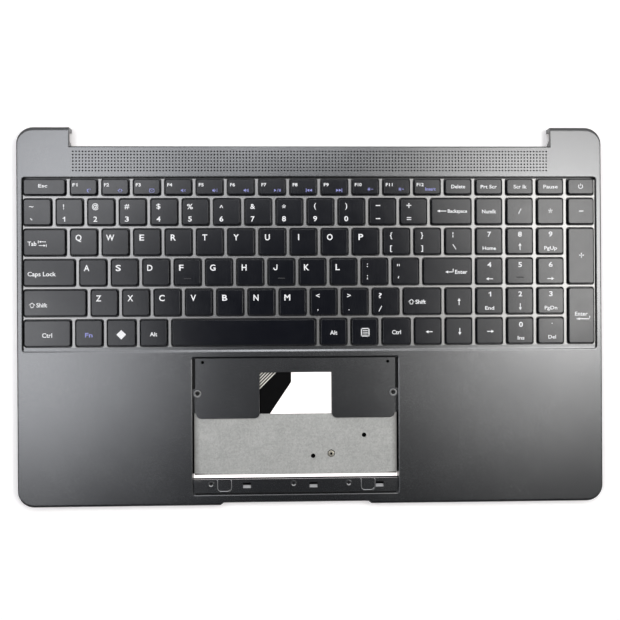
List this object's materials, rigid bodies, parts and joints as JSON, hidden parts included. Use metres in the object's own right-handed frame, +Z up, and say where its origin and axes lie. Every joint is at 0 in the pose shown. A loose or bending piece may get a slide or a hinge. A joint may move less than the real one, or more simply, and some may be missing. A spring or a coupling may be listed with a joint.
{
  "type": "laptop top case with keyboard",
  "caption": "Laptop top case: palm rest shell with sprung keys and number pad, hinge ears, speaker grille and an open touchpad bay.",
  "frame": {"origin": "under the middle of the shell, on the surface that its rim rests on", "axes": "+X along the rows of keys towards the number pad, +Y towards the hinges, +Z up"},
  "size_m": [0.358, 0.23, 0.0081],
  "materials": {
    "case_plastic": "satin metallic grey paint",
    "keycap_plastic": "satin black with printed legends",
    "backplate_aluminium": "rolled sheet",
    "switch_film": "printed polyester film",
    "ribbon_film": "black coated film",
    "dome_silicone": "milky silicone",
    "link_plastic": "natural acetal",
    "galvanised_steel": "galvanised sheet",
    "screw_steel": "nickel plated",
    "nut_steel": "zinc plated",
    "insert_brass": "turned brass"
  },
  "bodies": {
    "case": {"bracket_nut": "nut_steel", "bracket_screws": "screw_steel", "fixed_keys": "keycap_plastic", "keyboard_backplate": "backplate_aluminium", "keyboard_ribbon": "ribbon_film", "rubber_domes": "dome_silicone", "scissor_links": "link_plastic", "switch_membrane": "switch_film", "threaded_inserts": "insert_brass", "touchpad_bracket": "galvanised_steel", "upper_case": "case_plastic"},
    "key_a": {"key_a": "keycap_plastic"},
    "key_b": {"key_b": "keycap_plastic"},
    "key_backspace": {"key_backspace": "keycap_plastic"},
    "key_c": {"key_c": "keycap_plastic"},
    "key_caps_lock": {"key_caps_lock": "keycap_plastic"},
    "key_d": {"key_d": "keycap_plastic"},
    "key_delete": {"key_delete": "keycap_plastic"},
    "key_down_arrow": {"key_down_arrow": "keycap_plastic"},
    "key_e": {"key_e": "keycap_plastic"},
    "key_enter": {"key_enter": "keycap_plastic"},
    "key_esc": {"key_esc": "keycap_plastic"},
    "key_f": {"key_f": "keycap_plastic"},
    "key_fn": {"key_fn": "keycap_plastic"},
    "key_g": {"key_g": "keycap_plastic"},
    "key_h": {"key_h": "keycap_plastic"},
    "key_i": {"key_i": "keycap_plastic"},
    "key_j": {"key_j": "keycap_plastic"},
    "key_k": {"key_k": "keycap_plastic"},
    "key_l": {"key_l": "keycap_plastic"},
    "key_left_alt": {"key_left_alt": "keycap_plastic"},
    "key_left_arrow": {"key_left_arrow": "keycap_plastic"},
    "key_left_ctrl": {"key_left_ctrl": "keycap_plastic"},
    "key_left_shift": {"key_left_shift": "keycap_plastic"},
    "key_m": {"key_m": "keycap_plastic"},
    "key_menu": {"key_menu": "keycap_plastic"},
    "key_n": {"key_n": "keycap_plastic"},
    "key_o": {"key_o": "keycap_plastic"},
    "key_p": {"key_p": "keycap_plastic"},
    "key_pad_enter": {"key_pad_enter": "keycap_plastic"},
    "key_pad_plus": {"key_pad_plus": "keycap_plastic"},
    "key_power": {"key_power": "keycap_plastic"},
    "key_q": {"key_q": "keycap_plastic"},
    "key_r": {"key_r": "keycap_plastic"},
    "key_right_alt": {"key_right_alt": "keycap_plastic"},
    "key_right_arrow": {"key_right_arrow": "keycap_plastic"},
    "key_right_ctrl": {"key_right_ctrl": "keycap_plastic"},
    "key_right_shift": {"key_right_shift": "keycap_plastic"},
    "key_s": {"key_s": "keycap_plastic"},
    "key_space": {"key_space": "keycap_plastic"},
    "key_system": {"key_system": "keycap_plastic"},
    "key_t": {"key_t": "keycap_plastic"},
    "key_tab": {"key_tab": "keycap_plastic"},
    "key_u": {"key_u": "keycap_plastic"},
    "key_up_arrow": {"key_up_arrow": "keycap_plastic"},
    "key_v": {"key_v": "keycap_plastic"},
    "key_w": {"key_w": "keycap_plastic"},
    "key_x": {"key_x": "keycap_plastic"},
    "key_y": {"key_y": "keycap_plastic"},
    "key_z": {"key_z": "keycap_plastic"}
  },
  "joints": [
    {"name": "key_a_press", "type": "slide", "parent": "case", "child": "key_a", "axis": [0, 0, -1], "range_m": [0, 0.0013], "stiffness_N_per_m": 400, "deforming": ["rubber_domes", "scissor_links"]},
    {"name": "key_b_press", "type": "slide", "parent": "case", "child": "key_b", "axis": [0, 0, -1], "range_m": [0, 0.0013], "stiffness_N_per_m": 400, "deforming": ["rubber_domes", "scissor_links"]},
    {"name": "key_backspace_press", "type": "slide", "parent": "case", "child": "key_backspace", "axis": [0, 0, -1], "range_m": [0, 0.0013], "stiffness_N_per_m": 400, "deforming": ["rubber_domes", "scissor_links"]},
    {"name": "key_c_press", "type": "slide", "parent": "case", "child": "key_c", "axis": [0, 0, -1], "range_m": [0, 0.0013], "stiffness_N_per_m": 400, "deforming": ["rubber_domes", "scissor_links"]},
    {"name": "key_caps_lock_press", "type": "slide", "parent": "case", "child": "key_caps_lock", "axis": [0, 0, -1], "range_m": [0, 0.0013], "stiffness_N_per_m": 400, "deforming": ["rubber_domes", "scissor_links"]},
    {"name": "key_d_press", "type": "slide", "parent": "case", "child": "key_d", "axis": [0, 0, -1], "range_m": [0, 0.0013], "stiffness_N_per_m": 400, "deforming": ["rubber_domes", "scissor_links"]},
    {"name": "key_delete_press", "type": "slide", "parent": "case", "child": "key_delete", "axis": [0, 0, -1], "range_m": [0, 0.0013], "stiffness_N_per_m": 400, "deforming": ["rubber_domes", "scissor_links"]},
    {"name": "key_down_arrow_press", "type": "slide", "parent": "case", "child": "key_down_arrow", "axis": [0, 0, -1], "range_m": [0, 0.0013], "stiffness_N_per_m": 400, "deforming": ["rubber_domes", "scissor_links"]},
    {"name": "key_e_press", "type": "slide", "parent": "case", "child": "key_e", "axis": [0, 0, -1], "range_m": [0, 0.0013], "stiffness_N_per_m": 400, "deforming": ["rubber_domes", "scissor_links"]},
    {"name": "key_enter_press", "type": "slide", "parent": "case", "child": "key_enter", "axis": [0, 0, -1], "range_m": [0, 0.0013], "stiffness_N_per_m": 400, "deforming": ["rubber_domes", "scissor_links"]},
    {"name": "key_esc_press", "type": "slide", "parent": "case", "child": "key_esc", "axis": [0, 0, -1], "range_m": [0, 0.0013], "stiffness_N_per_m": 400, "deforming": ["rubber_domes", "scissor_links"]},
    {"name": "key_f_press", "type": "slide", "parent": "case", "child": "key_f", "axis": [0, 0, -1], "range_m": [0, 0.0013], "stiffness_N_per_m": 400, "deforming": ["rubber_domes", "scissor_links"]},
    {"name": "key_fn_press", "type": "slide", "parent": "case", "child": "key_fn", "axis": [0, 0, -1], "range_m": [0, 0.0013], "stiffness_N_per_m": 400, "deforming": ["rubber_domes", "scissor_links"]},
    {"name": "key_g_press", "type": "slide", "parent": "case", "child": "key_g", "axis": [0, 0, -1], "range_m": [0, 0.0013], "stiffness_N_per_m": 400, "deforming": ["rubber_domes", "scissor_links"]},
    {"name": "key_h_press", "type": "slide", "parent": "case", "child": "key_h", "axis": [0, 0, -1], "range_m": [0, 0.0013], "stiffness_N_per_m": 400, "deforming": ["rubber_domes", "scissor_links"]},
    {"name": "key_i_press", "type": "slide", "parent": "case", "child": "key_i", "axis": [0, 0, -1], "range_m": [0, 0.0013], "stiffness_N_per_m": 400, "deforming": ["rubber_domes", "scissor_links"]},
    {"name": "key_j_press", "type": "slide", "parent": "case", "child": "key_j", "axis": [0, 0, -1], "range_m": [0, 0.0013], "stiffness_N_per_m": 400, "deforming": ["rubber_domes", "scissor_links"]},
    {"name": "key_k_press", "type": "slide", "parent": "case", "child": "key_k", "axis": [0, 0, -1], "range_m": [0, 0.0013], "stiffness_N_per_m": 400, "deforming": ["rubber_domes", "scissor_links"]},
    {"name": "key_l_press", "type": "slide", "parent": "case", "child": "key_l", "axis": [0, 0, -1], "range_m": [0, 0.0013], "stiffness_N_per_m": 400, "deforming": ["rubber_domes", "scissor_links"]},
    {"name": "key_left_alt_press", "type": "slide", "parent": "case", "child": "key_left_alt", "axis": [0, 0, -1], "range_m": [0, 0.0013], "stiffness_N_per_m": 400, "deforming": ["rubber_domes", "scissor_links"]},
    {"name": "key_left_arrow_press", "type": "slide", "parent": "case", "child": "key_left_arrow", "axis": [0, 0, -1], "range_m": [0, 0.0013], "stiffness_N_per_m": 400, "deforming": ["rubber_domes", "scissor_links"]},
    {"name": "key_left_ctrl_press", "type": "slide", "parent": "case", "child": "key_left_ctrl", "axis": [0, 0, -1], "range_m": [0, 0.0013], "stiffness_N_per_m": 400, "deforming": ["rubber_domes", "scissor_links"]},
    {"name": "key_left_shift_press", "type": "slide", "parent": "case", "child": "key_left_shift", "axis": [0, 0, -1], "range_m": [0, 0.0013], "stiffness_N_per_m": 400, "deforming": ["rubber_domes", "scissor_links"]},
    {"name": "key_m_press", "type": "slide", "parent": "case", "child": "key_m", "axis": [0, 0, -1], "range_m": [0, 0.0013], "stiffness_N_per_m": 400, "deforming": ["rubber_domes", "scissor_links"]},
    {"name": "key_menu_press", "type": "slide", "parent": "case", "child": "key_menu", "axis": [0, 0, -1], "range_m": [0, 0.0013], "stiffness_N_per_m": 400, "deforming": ["rubber_domes", "scissor_links"]},
    {"name": "key_n_press", "type": "slide", "parent": "case", "child": "key_n", "axis": [0, 0, -1], "range_m": [0, 0.0013], "stiffness_N_per_m": 400, "deforming": ["rubber_domes", "scissor_links"]},
    {"name": "key_o_press", "type": "slide", "parent": "case", "child": "key_o", "axis": [0, 0, -1], "range_m": [0, 0.0013], "stiffness_N_per_m": 400, "deforming": ["rubber_domes", "scissor_links"]},
    {"name": "key_p_press", "type": "slide", "parent": "case", "child": "key_p", "axis": [0, 0, -1], "range_m": [0, 0.0013], "stiffness_N_per_m": 400, "deforming": ["rubber_domes", "scissor_links"]},
    {"name": "key_pad_enter_press", "type": "slide", "parent": "case", "child": "key_pad_enter", "axis": [0, 0, -1], "range_m": [0, 0.0013], "stiffness_N_per_m": 400, "deforming": ["rubber_domes", "scissor_links"]},
    {"name": "key_pad_plus_press", "type": "slide", "parent": "case", "child": "key_pad_plus", "axis": [0, 0, -1], "range_m": [0, 0.0013], "stiffness_N_per_m": 400, "deforming": ["rubber_domes", "scissor_links"]},
    {"name": "key_power_press", "type": "slide", "parent": "case", "child": "key_power", "axis": [0, 0, -1], "range_m": [0, 0.0013], "stiffness_N_per_m": 400, "deforming": ["rubber_domes", "scissor_links"]},
    {"name": "key_q_press", "type": "slide", "parent": "case", "child": "key_q", "axis": [0, 0, -1], "range_m": [0, 0.0013], "stiffness_N_per_m": 400, "deforming": ["rubber_domes", "scissor_links"]},
    {"name": "key_r_press", "type": "slide", "parent": "case", "child": "key_r", "axis": [0, 0, -1], "range_m": [0, 0.0013], "stiffness_N_per_m": 400, "deforming": ["rubber_domes", "scissor_links"]},
    {"name": "key_right_alt_press", "type": "slide", "parent": "case", "child": "key_right_alt", "axis": [0, 0, -1], "range_m": [0, 0.0013], "stiffness_N_per_m": 400, "deforming": ["rubber_domes", "scissor_links"]},
    {"name": "key_right_arrow_press", "type": "slide", "parent": "case", "child": "key_right_arrow", "axis": [0, 0, -1], "range_m": [0, 0.0013], "stiffness_N_per_m": 400, "deforming": ["rubber_domes", "scissor_links"]},
    {"name": "key_right_ctrl_press", "type": "slide", "parent": "case", "child": "key_right_ctrl", "axis": [0, 0, -1], "range_m": [0, 0.0013], "stiffness_N_per_m": 400, "deforming": ["rubber_domes", "scissor_links"]},
    {"name": "key_right_shift_press", "type": "slide", "parent": "case", "child": "key_right_shift", "axis": [0, 0, -1], "range_m": [0, 0.0013], "stiffness_N_per_m": 400, "deforming": ["rubber_domes", "scissor_links"]},
    {"name": "key_s_press", "type": "slide", "parent": "case", "child": "key_s", "axis": [0, 0, -1], "range_m": [0, 0.0013], "stiffness_N_per_m": 400, "deforming": ["rubber_domes", "scissor_links"]},
    {"name": "key_space_press", "type": "slide", "parent": "case", "child": "key_space", "axis": [0, 0, -1], "range_m": [0, 0.0013], "stiffness_N_per_m": 400, "deforming": ["rubber_domes", "scissor_links"]},
    {"name": "key_system_press", "type": "slide", "parent": "case", "child": "key_system", "axis": [0, 0, -1], "range_m": [0, 0.0013], "stiffness_N_per_m": 400, "deforming": ["rubber_domes", "scissor_links"]},
    {"name": "key_t_press", "type": "slide", "parent": "case", "child": "key_t", "axis": [0, 0, -1], "range_m": [0, 0.0013], "stiffness_N_per_m": 400, "deforming": ["rubber_domes", "scissor_links"]},
    {"name": "key_tab_press", "type": "slide", "parent": "case", "child": "key_tab", "axis": [0, 0, -1], "range_m": [0, 0.0013], "stiffness_N_per_m": 400, "deforming": ["rubber_domes", "scissor_links"]},
    {"name": "key_u_press", "type": "slide", "parent": "case", "child": "key_u", "axis": [0, 0, -1], "range_m": [0, 0.0013], "stiffness_N_per_m": 400, "deforming": ["rubber_domes", "scissor_links"]},
    {"name": "key_up_arrow_press", "type": "slide", "parent": "case", "child": "key_up_arrow", "axis": [0, 0, -1], "range_m": [0, 0.0013], "stiffness_N_per_m": 400, "deforming": ["rubber_domes", "scissor_links"]},
    {"name": "key_v_press", "type": "slide", "parent": "case", "child": "key_v", "axis": [0, 0, -1], "range_m": [0, 0.0013], "stiffness_N_per_m": 400, "deforming": ["rubber_domes", "scissor_links"]},
    {"name": "key_w_press", "type": "slide", "parent": "case", "child": "key_w", "axis": [0, 0, -1], "range_m": [0, 0.0013], "stiffness_N_per_m": 400, "deforming": ["rubber_domes", "scissor_links"]},
    {"name": "key_x_press", "type": "slide", "parent": "case", "child": "key_x", "axis": [0, 0, -1], "range_m": [0, 0.0013], "stiffness_N_per_m": 400, "deforming": ["rubber_domes", "scissor_links"]},
    {"name": "key_y_press", "type": "slide", "parent": "case", "child": "key_y", "axis": [0, 0, -1], "range_m": [0, 0.0013], "stiffness_N_per_m": 400, "deforming": ["rubber_domes", "scissor_links"]},
    {"name": "key_z_press", "type": "slide", "parent": "case", "child": "key_z", "axis": [0, 0, -1], "range_m": [0, 0.0013], "stiffness_N_per_m": 400, "deforming": ["rubber_domes", "scissor_links"]}
  ]
}
